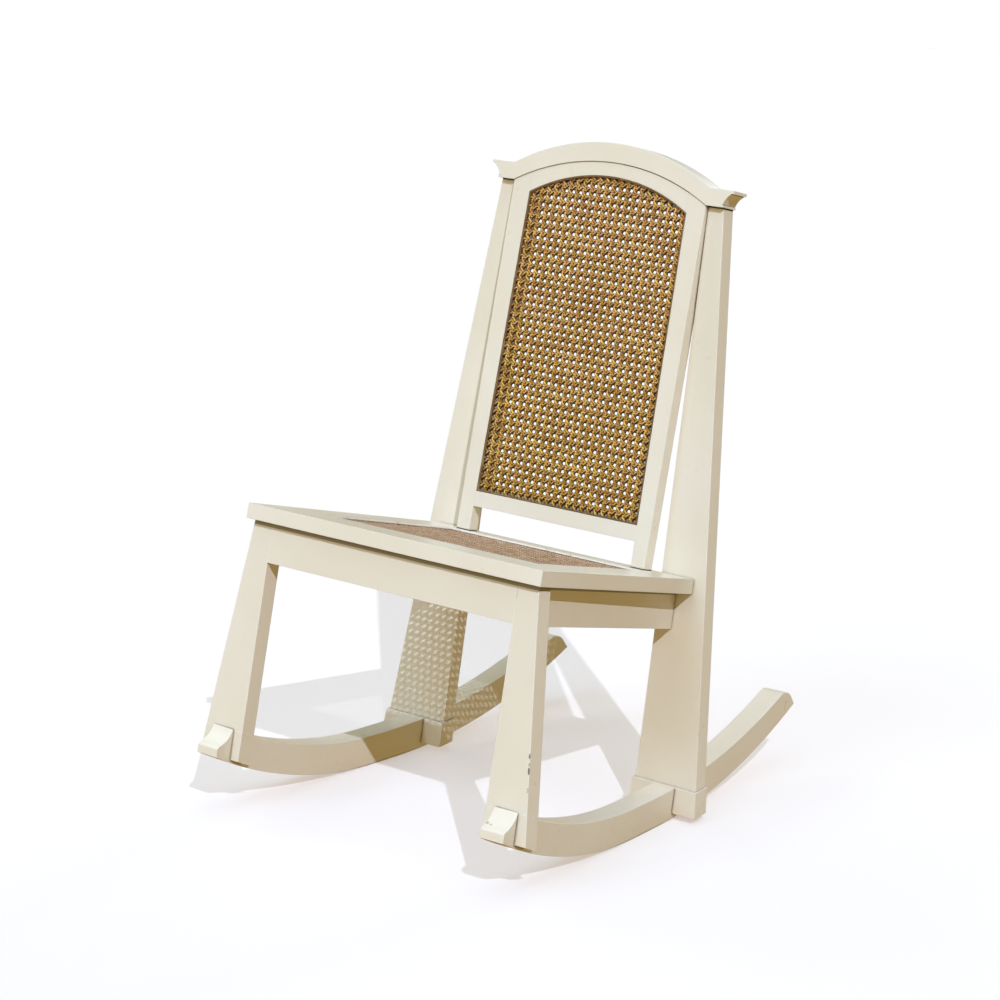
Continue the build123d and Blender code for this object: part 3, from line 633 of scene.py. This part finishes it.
back_cane_look = cane_material(
    "golden_cane",
    dark=(0.026, 0.010, 0.001, 1), mid=(0.560, 0.300, 0.030, 1), light=(1.000, 0.660, 0.120, 1),
    rosy=(1.000, 0.550, 0.250, 1), stain=(0.380, 0.170, 0.030, 1),
    outline=0.97, streak=(240, 240, 120), streaked=0.6, sheen=0.2)
seat_cane_look = cane_material(
    "tan_cane",
    dark=(0.080, 0.032, 0.012, 1), mid=(0.880, 0.540, 0.310, 1), light=(1.000, 0.860, 0.620, 1),
    rosy=(1.000, 0.750, 0.500, 1), stain=(0.420, 0.190, 0.080, 1),
    outline=0.60, streak=(220, 30, 220), streaked=0.6, sheen=0.0)
BACK_SEED = 3
SEAT_SEED = 7
back_weave = Weave(
    back_panel, BACK_SEED, ridge=1.25 * MM, pair_width=3.8 * MM, diagonal_width=4.0 * MM,
    thick=1.05 * MM, drift=1.1)
seat_weave = Weave(
    seat_panel, SEAT_SEED, ridge=0.50 * MM, pair_width=2.5 * MM, diagonal_width=2.2 * MM,
    thick=0.55 * MM, drift=0.0)
back_cane = back_weave.piece("woven_back_cane", back_cane_look)
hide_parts("back_cane")
seat_cane = seat_weave.piece("woven_seat_cane", seat_cane_look)
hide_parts("seat_cane")


# Splines: half-round reeds pressed into the rebates

SPLINE_GAP = 0.45 * MM
SPLINE_TOP = 1.25
# The reed's section: share of its width, and height in mm
SPLINE_SECTION = (
    (0.0, -SPLINE_TOP), (0.0, 0.55), (0.08, 0.95), (0.26, 1.20), (0.50, SPLINE_TOP), (0.74, 1.15),
    (0.92, 0.85), (1.0, 0.40), (1.0, -SPLINE_TOP))
BACK_REED_WIDTH = 2.1 * MM
SEAT_REED_WIDTH = 3.7 * MM
REED_EDGE_ANGLE = 50


def spline_ring(name, panel, width, mat):
    """Reed with a domed top that runs round a panel, mitred at its corners."""
    loops = [(inset(panel.outline, SPLINE_GAP + share * width), up * MM) for share, up in SPLINE_SECTION]
    count = len(panel.outline)
    sink = panel.depth - SPLINE_TOP * MM
    verts = [panel.point(x, y, up + sink) for loop, up in loops for x, y in loop]
    faces = []
    for i in range(len(loops)):
        low, high = i * count, (i + 1) % len(loops) * count
        for j in range(count):
            faces.append((low + j, low + (j + 1) % count, high + (j + 1) % count, high + j))
    mesh = bpy.data.meshes.new(name)
    mesh.from_pydata([tuple(v) for v in verts], [], faces)
    mesh.materials.append(mat)
    mesh.update()
    mesh.polygons.foreach_set("use_smooth", [True] * len(faces))
    mesh.set_sharp_from_angle(angle=math.radians(REED_EDGE_ANGLE))
    piece = bpy.data.objects.new(name, mesh)
    scene.collection.objects.link(piece)
    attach(piece, "root")
    return piece


def reed_material(name, base, dark, worn, worn_low, worn_high):
    """Reed with fine fibres, and an uneven second colour over it."""
    mat, tree, shader = new_material(name)
    plain = stretched(tree, (1, 1, 1))
    fibre = noise(tree, plain, 700.0, 4.0, 0.6)
    patch = noise(tree, plain, 60.0, 4.0, 0.6)
    colour = mixed(tree, ramp(tree, fibre, 0.35, 0.75), base, dark)
    colour = mixed(tree, ramp(tree, patch, worn_low, worn_high), colour, worn)
    tree.links.new(colour, shader.inputs["Base Color"])
    tree.links.new(ramp(tree, patch, 0.3, 0.7, grey(0.35), grey(0.6)), shader.inputs["Roughness"])
    tree.links.new(bumped(tree, ((fibre, 0.25, 0.25 * MM),)), shader.inputs["Normal"])
    return mat


back_reed = reed_material(
    "golden_reed", base=(0.250, 0.140, 0.050, 1), dark=(0.090, 0.045, 0.015, 1),
    worn=(0.420, 0.280, 0.130, 1), worn_low=0.50, worn_high=0.80)
seat_reed = reed_material(
    "painted_reed", base=(0.700, 0.600, 0.470, 1), dark=(0.480, 0.350, 0.230, 1),
    worn=(0.800, 0.760, 0.660, 1), worn_low=0.28, worn_high=0.46)
back_spline = spline_ring("reed_back_spline", back_panel, BACK_REED_WIDTH, back_reed)
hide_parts("back_spline")
seat_spline = spline_ring("reed_seat_spline", seat_panel, SEAT_REED_WIDTH, seat_reed)
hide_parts("seat_spline")


# Floor, light and camera

STUDIO = 20.0  # half the floor's side, and the surround's height
FLOOR_ALBEDO = 0.54
FLOOR_GLOW = (0.421, 0.393, 0.389, 1)
SURROUND_GLOW = grey(1.0)
GROUND_LIGHT = (0.430, 0.288, 0.108, 1)
SKY_LIGHT = (0.198, 0.168, 0.065, 1)


def stage_piece(name, verts, faces, albedo, glow):
    """A plain pale surface of the studio that is seen but throws no light back on the chair."""
    mesh = bpy.data.meshes.new(name)
    mesh.from_pydata(verts, [], faces)
    mat, _, shader = new_material("pale_" + name)
    shader.inputs["Base Color"].default_value = grey(albedo)
    shader.inputs["Emission Color"].default_value = glow
    shader.inputs["Emission Strength"].default_value = 1.0
    shader.inputs["Roughness"].default_value = 1.0
    shader.inputs["Specular IOR Level"].default_value = 0.0
    mesh.materials.append(mat)
    piece = bpy.data.objects.new(name, mesh)
    piece.visible_diffuse = False
    piece.visible_glossy = False
    scene.collection.objects.link(piece)
    return piece


def make_studio():
    """Pale floor, and a pale surround that lets all light through."""
    corners = [(-STUDIO, -STUDIO), (STUDIO, -STUDIO), (STUDIO, STUDIO), (-STUDIO, STUDIO)]
    low = [(x, y, 0.0) for x, y in corners]
    high = [(x, y, STUDIO) for x, y in corners]
    stage_piece("floor", low, [(0, 1, 2, 3)], FLOOR_ALBEDO, FLOOR_GLOW)
    walls = [(i, (i + 1) % 4, (i + 1) % 4 + 4, i + 4) for i in range(4)]
    surround = stage_piece("surround", low + high, walls + [(4, 5, 6, 7)], 0.0, SURROUND_GLOW)
    surround.visible_shadow = False


def add_sun(name, towards, strength, spread, colour):
    """Parallel light: towards points from the chair to the light, and spread is its width in degrees."""
    data = bpy.data.lights.new(name, "SUN")
    data.energy = strength
    data.angle = math.radians(spread)
    data.color = colour
    lamp = bpy.data.objects.new(name, data)
    lamp.rotation_euler = Vector(towards).to_track_quat("Z", "Y").to_euler()
    scene.collection.objects.link(lamp)


def make_world():
    """Dim warm light from above, and brighter warm light from below the chair."""
    world = bpy.data.worlds.new("studio")
    scene.world = world
    world.use_nodes = True
    tree = world.node_tree
    towards = add(tree, "TexCoord")
    split = add(tree, "SeparateXYZ")
    tree.links.new(towards.outputs["Generated"], split.inputs["Vector"])
    tree.links.new(ramp(tree, split.outputs["Z"], 0.0, 0.05, GROUND_LIGHT, SKY_LIGHT),
                   tree.nodes["Background"].inputs["Color"])


# Name, direction towards the light, strength, spread in degrees, colour
SUNS = (
    ("key", (0.542, -0.519, 0.661), 2.48, 0.6, (0.777, 0.824, 1.0)),
    ("front_high", (-0.15, -0.72, 0.68), 1.12, 30, (0.528, 0.715, 1.0)),
    ("front_low", (0.10, -0.98, 0.12), 0.25, 50, (1.0, 0.893, 0.557)),
    ("left_fill", (-0.95, 0.0, 0.30), 1.5, 60, (0.90, 0.94, 1.0)),
    ("back_fill", (0.0, 0.97, 0.25), 1.5, 30, (0.80, 0.88, 1.0)),
    ("top", (0.0, -0.10, 1.0), 0.50, 40, (0.72, 0.86, 1.0)),
)
CAMERA_PLACE = Vector((1.99006, -2.96681, 1.20288))
CAMERA_RIGHT = Vector((0.81356, 0.57810, 0.06256))
CAMERA_UP = -Vector((0.17685, -0.14352, -0.97371))
SENSOR = 36.0
LENS = 98.31279

make_studio()
make_world()
for sun in SUNS:
    add_sun(*sun)

camera_data = bpy.data.cameras.new("camera")
camera_data.sensor_width = SENSOR
camera_data.lens = LENS
camera_data.clip_end = 100.0
camera = bpy.data.objects.new("camera", camera_data)
scene.collection.objects.link(camera)
turn = Matrix((CAMERA_RIGHT, CAMERA_UP, CAMERA_RIGHT.cross(CAMERA_UP))).transposed().to_4x4()
camera.matrix_world = Matrix.Translation(CAMERA_PLACE) @ turn
scene.camera = camera
scene.view_settings.view_transform = "Standard"
scene.view_settings.look = "None"
